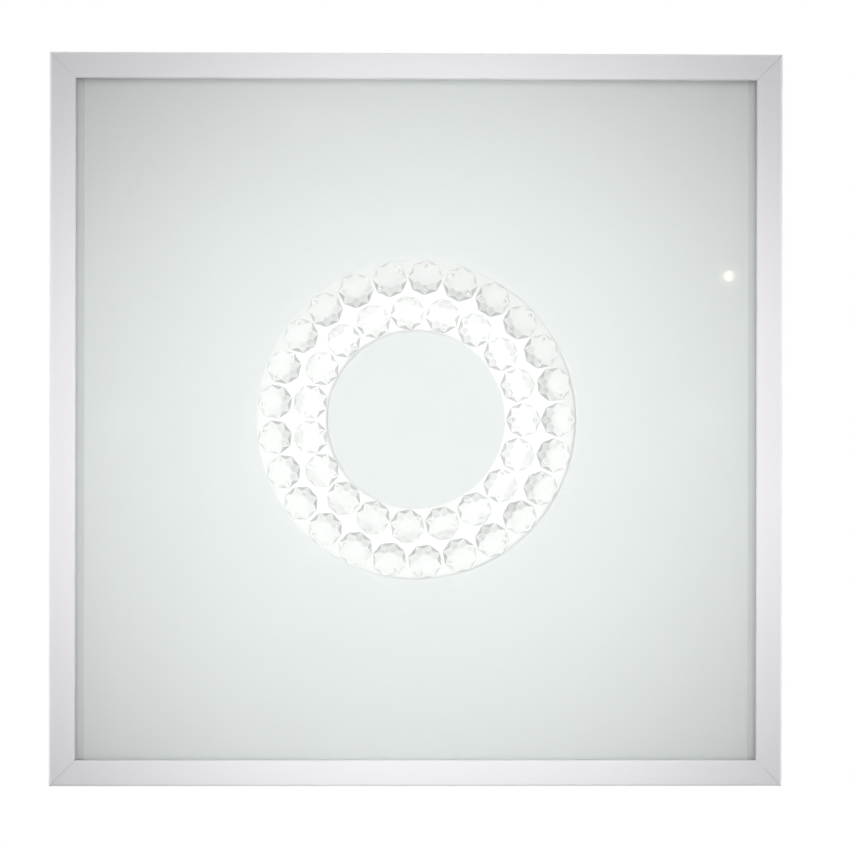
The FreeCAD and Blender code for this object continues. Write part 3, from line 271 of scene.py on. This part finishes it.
def sky():
    world = bpy.data.worlds.new("studio")
    bpy.context.scene.world = world
    world.use_nodes = True
    world.node_tree.nodes.clear()
    background = add(world, "ShaderNodeBackground")
    background.inputs["Color"].default_value = (1, 1, 1, 1)
    between(world, seen_rays(world), SKY_LIGHT, SKY_SEEN, background.inputs["Strength"], 0.0, 1.0)
    out = add(world, "ShaderNodeOutputWorld")
    link(world, background.outputs["Background"], out.inputs["Surface"])


def pale_floor():
    """A pale floor well below the hanging light."""
    paint = surface("floor_paint", (0.90, 0.90, 0.90), (0.88, 0.88, 0.88), (0.6, 0.75), grain=40, patch=1.5)
    shader = paint.node_tree.nodes["Principled BSDF"]
    shader.inputs["Emission Color"].default_value = (1, 1, 1, 1)
    between(paint, seen_rays(paint), FLOOR_LIGHT, FLOOR_SEEN, shader.inputs["Emission Strength"], 0.0, 1.0)
    corners = [
        (-FLOOR_HALF, -FLOOR_HALF, FLOOR_LEVEL),
        (FLOOR_HALF, -FLOOR_HALF, FLOOR_LEVEL),
        (FLOOR_HALF, FLOOR_HALF, FLOOR_LEVEL),
        (-FLOOR_HALF, FLOOR_HALF, FLOOR_LEVEL),
    ]
    mesh = bpy.data.meshes.new("floor")
    mesh.from_pydata(corners, [], [(0, 1, 2, 3)])
    mesh.materials.append(paint)
    floor = bpy.data.objects.new("floor", mesh)
    bpy.context.scene.collection.objects.link(floor)


lamps()
sky()
pale_floor()

# Mesh helpers


def finish_mesh(name, shape, material, body):
    mesh = bpy.data.meshes.new(name)
    bmesh.ops.recalc_face_normals(shape, faces=shape.faces)
    shape.to_mesh(mesh)
    shape.free()
    mesh.materials.append(material)
    made = bpy.data.objects.new(name, mesh)
    bpy.context.scene.collection.objects.link(made)
    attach(made, body)
    return made


def loop_of(shape, points):
    return [shape.verts.new(point) for point in points]


def strip(shape, first, second):
    """Faces between two closed loops of equal count."""
    for i in range(len(first)):
        j = (i + 1) % len(first)
        shape.faces.new((first[i], first[j], second[j], second[i]))


# Glass: a clear pane with a satin layer on its back, left off over the ring and the two side strips

PANE_BEVEL = 0.4 * MM
SATIN_DEPTH = 0.05 * MM
SATIN_GAP = 0.02 * MM
SATIN_LAP = 0.2 * MM
CLEAR_INNER = 35.2 * MM
CLEAR_OUTER = 63.5 * MM
STEPS = 160
GLASS_IOR = 1.5
CRYSTAL_IOR = 1.54
CRYSTAL_ALPHA = 0.47


def circle(radius, z):
    turns = [2 * math.pi * i / STEPS for i in range(STEPS)]
    return [(radius * math.cos(a), radius * math.sin(a), z) for a in turns]


def rectangle(left, right, half, z):
    """Points on a rectangle's sides, one for each step of the circle."""
    points = []
    for i in range(STEPS):
        angle = 2 * math.pi * i / STEPS
        x, y = math.cos(angle), math.sin(angle)
        reach = 1 / max(abs(x), abs(y))
        points.append((x * reach * (right if x > 0 else left), y * reach * half, z))
    return points


def clear_glass():
    """Polished glass: it reflects by angle and otherwise lets light straight through."""
    material, shader = new_material("clear_glass")
    shader.inputs["Base Color"].default_value = (1, 1, 1, 1)
    shader.inputs["Metallic"].default_value = 1.0
    fine = place_noise(material, 60, detail=1.0)
    between(material, fine, 0.01, 0.03, shader.inputs["Roughness"])
    through = add(material, "ShaderNodeBsdfTransparent")
    through.inputs["Color"].default_value = (0.99, 0.997, 0.994, 1)
    # light isn't bent in the pane, so both of its faces reflect as they do from the air
    side = add(material, "ShaderNodeNewGeometry")
    fresnel = add(material, "ShaderNodeFresnel")
    between(material, side.outputs["Backfacing"], GLASS_IOR, 1 / GLASS_IOR, fresnel.inputs["IOR"], 0.0, 1.0)
    link(material, fresnel.outputs["Fac"], mix_shaders(material, through, shader))
    return material


def satin(name, colour, through):
    """Satin-etched back: pale green white, scattering most light and letting the rest through blurred."""
    return surface(
        name,
        colour,
        tuple(0.99 * value for value in colour),
        (0.58, 0.66),
        grain=2500,
        depth=0.004 * MM,
        patch=12,
        Transmission_Weight=through,
        IOR=1.3,
    )


def clear_back():
    """The smooth side of the satin layer, which lets nearly all light through."""
    material, shader = new_material("clear_back")
    shader.inputs["Roughness"].default_value = 0.1
    fine = place_noise(material, 60, detail=1.0)
    through = add(material, "ShaderNodeBsdfTransparent")
    between(material, fine, 0.985, 1.0, mix_shaders(material, shader, through))
    return material


def clear_pane(low, half, top):
    pane = bmesh.new()
    sections = (
        (half - PANE_BEVEL, low),
        (half, low + PANE_BEVEL),
        (half, top - PANE_BEVEL),
        (half - PANE_BEVEL, top),
    )
    loops = [loop_of(pane, [(-s, -s, z), (s, -s, z), (s, s, z), (-s, s, z)]) for s, z in sections]
    for first, second in zip(loops, loops[1:]):
        strip(pane, first, second)
    pane.faces.new(loops[0])
    pane.faces.new(loops[-1])
    made = finish_mesh("glass_pane", pane, clear_glass(), FRONT)
    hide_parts("glass_panel")


def satin_layer(edge, front, back):
    """The satin sheet round the ring and the disc inside it; only the faces in front scatter light. The disc
    wears a darker copy of the same satin, a painted shade that tones down the brighter light at the centre.
    """
    layer = bmesh.new()
    left = SATIN_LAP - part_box("glass_retainer_left")[1].x
    right = SATIN_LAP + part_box("glass_retainer_right")[0].x
    loops = [
        loop_of(layer, rectangle(left, right, edge, front)),
        loop_of(layer, circle(CLEAR_OUTER, front)),
        loop_of(layer, circle(CLEAR_OUTER, back)),
        loop_of(layer, rectangle(left, right, edge, back)),
    ]
    for i in range(len(loops)):
        strip(layer, loops[i], loops[(i + 1) % len(loops)])
    low_disc = loop_of(layer, circle(CLEAR_INNER, front))
    high_disc = loop_of(layer, circle(CLEAR_INNER, back))
    strip(layer, low_disc, high_disc)
    layer.faces.new(low_disc)
    layer.faces.new(high_disc)
    disc = set(low_disc + high_disc)
    for face in layer.faces:
        scatters = all(vertex.co.z < back - SATIN_DEPTH / 2 for vertex in face.verts)
        within = all(vertex in disc for vertex in face.verts)
        face.material_index = (1 if within else 0) if scatters else 2
    sheet = satin("satin_back", (0.775, 0.795, 0.787), 0.12)
    made = finish_mesh("satin_back", layer, sheet, FRONT)
    # painted shade: the disc is the same satin made darker, to offset the stronger light at the centre
    made.data.materials.append(satin("satin_disc_painted_shade", (0.74, 0.76, 0.757), 0.1))
    made.data.materials.append(clear_back())
    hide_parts("glass_panel")


def glass():
    low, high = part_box("glass_panel")
    back = high.z - SATIN_GAP
    clear_pane(low.z, high.x, back - SATIN_DEPTH - SATIN_GAP)
    satin_layer(high.x - PANE_BEVEL, back - SATIN_DEPTH, back)


def crystal():
    """Cut crystal, each bead with a very faint tint of its own."""
    material, shader = new_material("crystal")
    shader.inputs["Transmission Weight"].default_value = 1.0
    shader.inputs["IOR"].default_value = CRYSTAL_IOR
    shader.inputs["Alpha"].default_value = CRYSTAL_ALPHA
    place = add(material, "ShaderNodeNewGeometry")
    # ground girdles and thread holes, polished facets
    parts = add(material, "ShaderNodeSeparateXYZ")
    link(material, place.outputs["True Normal"], parts.inputs["Vector"])
    upright = add(material, "ShaderNodeMath", operation="ABSOLUTE")
    link(material, parts.outputs["Z"], upright.inputs[0])
    between(material, upright.outputs["Value"], 0.5, 0.0, shader.inputs["Roughness"], 0.25, 0.3)
    tint(
        material,
        place.outputs["Random Per Island"],
        (1.0, 0.99, 0.965),
        (0.99, 0.985, 1.0),
        shader.inputs["Base Color"],
    )
    path = add(material, "ShaderNodeLightPath")
    through = add(material, "ShaderNodeBsdfTransparent")
    link(material, path.outputs["Is Shadow Ray"], mix_shaders(material, shader, through))
    return material


glass()
dress(["outer_crystals", "inner_crystals"], crystal())

# Frame

# Scales of the brushed grain along and across a rail or strip
RAIL_ALONG, RAIL_ACROSS = 40, 3200
STRIP_ALONG, STRIP_ACROSS = 60, 3000


def rail_metal(name, stretch):
    return surface(
        name,
        (0.84, 0.835, 0.86),
        (0.825, 0.82, 0.85),
        (0.34, 0.46),
        metal=0.10,
        grain=1.0,
        stretch=stretch,
        depth=0.003 * MM,
        patch=18,
        Specular_IOR_Level=0.12,
    )


dress(["rail_front", "rail_back"], rail_metal("satin_rail_x", (RAIL_ALONG, RAIL_ACROSS, RAIL_ACROSS)))
dress(["rail_left", "rail_right"], rail_metal("satin_rail_y", (RAIL_ACROSS, RAIL_ALONG, RAIL_ACROSS)))

zinc = surface(
    "zinc",
    (0.70, 0.71, 0.72),
    (0.62, 0.63, 0.65),
    (0.25, 0.42),
    metal=0.9,
    grain=1200,
    depth=0.004 * MM,
    patch=120,
)
steel_strip = surface(
    "retainer_steel",
    (0.64, 0.647, 0.655),
    (0.62, 0.627, 0.635),
    (0.45, 0.58),
    metal=0.15,
    grain=1.0,
    stretch=(STRIP_ACROSS, STRIP_ALONG, STRIP_ACROSS),
    depth=0.003 * MM,
    patch=40,
)
spring = surface(
    "spring_steel",
    (0.58, 0.61, 0.61),
    (0.52, 0.55, 0.55),
    (0.2, 0.34),
    metal=0.9,
    grain=1500,
    depth=0.003 * MM,
    patch=90,
)
gasket = surface(
    "gasket", (0.74, 0.74, 0.73), (0.70, 0.70, 0.69), (0.6, 0.75), grain=1800, depth=0.008 * MM
)
ZINC_FASTENERS = [
    "corner_screws",
    "retainer_screws",
    "clip_screws",
    "tray_screws",
    "board_screws",
    "driver_screws",
    "terminal_screws",
    "clamp_screws",
    "catch_rivets",
]
dress(named("corner_key") + ZINC_FASTENERS, zinc)
dress(["glass_retainer_left", "glass_retainer_right"], steel_strip)
dress(named("glass_clip", "catch_left", "catch_right"), spring)
dress(["glass_gasket"], gasket)

# Base

pan_coat = surface(
    "pan_coat",
    (0.86, 0.86, 0.85),
    (0.845, 0.845, 0.835),
    (0.42, 0.55),
    grain=1400,
    depth=0.012 * MM,
    patch=14,
)
reflector_coat = surface(
    "reflector_coat", (0.91, 0.91, 0.90), (0.90, 0.90, 0.89), (0.5, 0.62), grain=1600, patch=14
)
grommet = surface("grommet", (0.030, 0.030, 0.031), (0.022, 0.022, 0.023), (0.5, 0.68), grain=1500)
board_mask = surface(
    "board_mask", (0.88, 0.89, 0.88), (0.86, 0.87, 0.86), (0.3, 0.4), grain=1500, depth=0.004 * MM
)
led_package = surface("led_package", (0.88, 0.88, 0.86), (0.85, 0.85, 0.83), (0.3, 0.42), grain=2500)
driver_case = surface(
    "driver_case", (0.82, 0.82, 0.81), (0.79, 0.79, 0.78), (0.4, 0.55), grain=1600, depth=0.02 * MM
)
terminal = surface("terminal", (0.84, 0.84, 0.80), (0.80, 0.80, 0.76), (0.35, 0.5), grain=1600)
brass = surface(
    "brass", (0.78, 0.60, 0.30), (0.68, 0.50, 0.24), (0.25, 0.4), metal=1.0, grain=1800, patch=200
)
tinned = surface(
    "tinned", (0.75, 0.75, 0.73), (0.66, 0.66, 0.64), (0.25, 0.4), metal=0.9, grain=1800, patch=200
)
dress(["base_pan"], pan_coat)
dress(["reflector_tray"], reflector_coat)
dress(["cable_grommet"], grommet)
dress(["led_board"], board_mask)
dress(["led_chips"], led_package)
dress(["led_driver"], driver_case)
dress(["terminal_block"], terminal)
dress(["terminal_tubes", "earth_screw"], brass)
dress(["earth_lug"], tinned)

LEAD_COLOURS = {
    "live_lead": (0.19, 0.085, 0.04),
    "neutral_lead": (0.05, 0.16, 0.48),
    "earth_lead": (0.35, 0.50, 0.06),
    "led_lead_positive": (0.50, 0.03, 0.025),
    "led_lead_negative": (0.02, 0.02, 0.02),
}
for lead, colour in LEAD_COLOURS.items():
    shade = tuple(0.85 * value for value in colour)
    cover = surface(lead + "_cover", colour, shade, (0.32, 0.44), grain=1500, depth=0.006 * MM, patch=150)
    dress([lead], cover)

# Small details on the lighting board

LED_COUNT = 16
LED_CIRCLE = 23 * MM
WINDOW_RADIUS = 1.05 * MM
WINDOW_HEIGHT = 0.13 * MM
WINDOW_INSET = 0.15 * MM
SOLDER_RADIUS = 1.5 * MM
SOLDER_HEIGHT = 1.3 * MM
DOME_SIDES = 20
DOME_RINGS = 4


def dome(shape, middle, radius, height):
    """A low closed dome that points down."""
    turns = [2 * math.pi * j / DOME_SIDES for j in range(DOME_SIDES)]
    loops = []
    for i in range(DOME_RINGS):
        rise = 0.5 * math.pi * i / DOME_RINGS
        reach, drop = radius * math.cos(rise), height * math.sin(rise)
        points = [middle + Vector((reach * math.cos(a), reach * math.sin(a), -drop)) for a in turns]
        loops.append(loop_of(shape, points))
    for first, second in zip(loops, loops[1:]):
        strip(shape, first, second)
    tip = shape.verts.new(middle + Vector((0, 0, -height)))
    for i in range(DOME_SIDES):
        shape.faces.new((loops[-1][i], loops[-1][(i + 1) % DOME_SIDES], tip))
    shape.faces.new(loops[0])


def finish_domes(name, shape, material):
    made = finish_mesh(name, shape, material, BACK)
    for face in made.data.polygons:
        face.use_smooth = True


def led_windows():
    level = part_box("led_chips")[0].z + WINDOW_INSET
    windows = bmesh.new()
    for i in range(LED_COUNT):
        angle = 2 * math.pi * i / LED_COUNT
        middle = Vector((LED_CIRCLE * math.cos(angle), LED_CIRCLE * math.sin(angle), level))
        dome(windows, middle, WINDOW_RADIUS, WINDOW_HEIGHT)
    phosphor = surface(
        "phosphor", (0.88, 0.62, 0.07), (0.80, 0.54, 0.05), (0.28, 0.4), grain=3000, patch=400
    )
    finish_domes("led_windows", windows, phosphor)


def solder_joints():
    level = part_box("led_board")[0].z
    joints = bmesh.new()
    for x in (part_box("led_lead_positive")[1].x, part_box("led_lead_negative")[0].x):
        dome(joints, Vector((x, 0, level)), SOLDER_RADIUS, SOLDER_HEIGHT)
    solder = surface(
        "solder", (0.72, 0.72, 0.70), (0.62, 0.62, 0.60), (0.2, 0.36), metal=0.9, grain=1500, patch=300
    )
    finish_domes("solder_joints", joints, solder)


led_windows()
solder_joints()

bpy.context.scene.view_settings.view_transform = "Standard"
